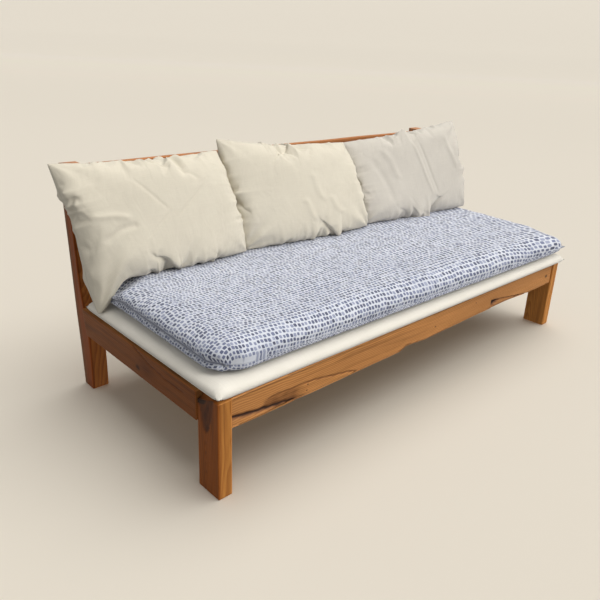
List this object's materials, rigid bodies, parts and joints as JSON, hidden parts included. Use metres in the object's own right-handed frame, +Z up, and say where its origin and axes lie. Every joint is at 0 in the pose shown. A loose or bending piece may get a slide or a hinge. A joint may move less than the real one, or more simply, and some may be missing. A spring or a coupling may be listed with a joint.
{
  "type": "daybed",
  "caption": "Rustic hardwood daybed with a raked open back, slatted base, thin base mattress, printed topper and loose back cushions that lift off.",
  "frame": {"origin": "centre of the footprint on the floor", "axes": "+X along the bed to its right-hand end seen from the front, -Y to the front of the seat, +Z up"},
  "size_m": [2.0127, 0.885, 0.8457],
  "materials": {
    "hardwood": "satin",
    "slat_wood": "matte",
    "peg_wood": "matte",
    "zinc_steel": "satin",
    "cream_cotton": "matte",
    "printed_cotton": "matte",
    "linen": "matte",
    "wadding": "matte"
  },
  "bodies": {
    "frame": {"front_left_leg": "hardwood", "front_right_leg": "hardwood", "rear_left_post": "hardwood", "rear_right_post": "hardwood", "front_rail": "hardwood", "rear_rail": "hardwood", "left_side_rail": "hardwood", "right_side_rail": "hardwood", "back_board_1": "hardwood", "back_board_2": "hardwood", "back_board_3": "hardwood", "front_cleat": "slat_wood", "rear_cleat": "slat_wood", "slat_1": "slat_wood", "slat_2": "slat_wood", "slat_3": "slat_wood", "slat_4": "slat_wood", "slat_5": "slat_wood", "slat_6": "slat_wood", "slat_7": "slat_wood", "slat_8": "slat_wood", "slat_9": "slat_wood", "slat_10": "slat_wood", "slat_11": "slat_wood", "slat_12": "slat_wood", "slat_13": "slat_wood", "slat_14": "slat_wood", "front_tenon_pegs": "peg_wood", "rear_tenon_pegs": "peg_wood", "back_tenon_pegs": "peg_wood", "cleat_screws": "zinc_steel", "slat_screws": "zinc_steel"},
    "base_mattress": {"mattress_cover": "cream_cotton", "mattress_filling": "wadding"},
    "topper": {"topper_cover": "printed_cotton", "topper_filling": "wadding"},
    "left_cushion": {"left_cushion_cover": "linen", "left_cushion_pad": "wadding"},
    "middle_cushion": {"middle_cushion_cover": "linen", "middle_cushion_pad": "wadding"},
    "right_cushion": {"right_cushion_cover": "linen", "right_cushion_pad": "wadding"}
  },
  "joints": [
    {"name": "mattress_lift", "type": "slide", "parent": "frame", "child": "base_mattress", "axis": [0, 0, 1], "range_m": [0, 0.5]},
    {"name": "topper_lift", "type": "slide", "parent": "base_mattress", "child": "topper", "axis": [0, 0, 1], "range_m": [0, 0.4]},
    {"name": "left_cushion_lift", "type": "slide", "parent": "topper", "child": "left_cushion", "axis": [0, 0, 1], "range_m": [0, 0.45]},
    {"name": "middle_cushion_lift", "type": "slide", "parent": "topper", "child": "middle_cushion", "axis": [0, 0, 1], "range_m": [0, 0.45]},
    {"name": "right_cushion_lift", "type": "slide", "parent": "topper", "child": "right_cushion", "axis": [0, 0, 1], "range_m": [0, 0.45]}
  ]
}
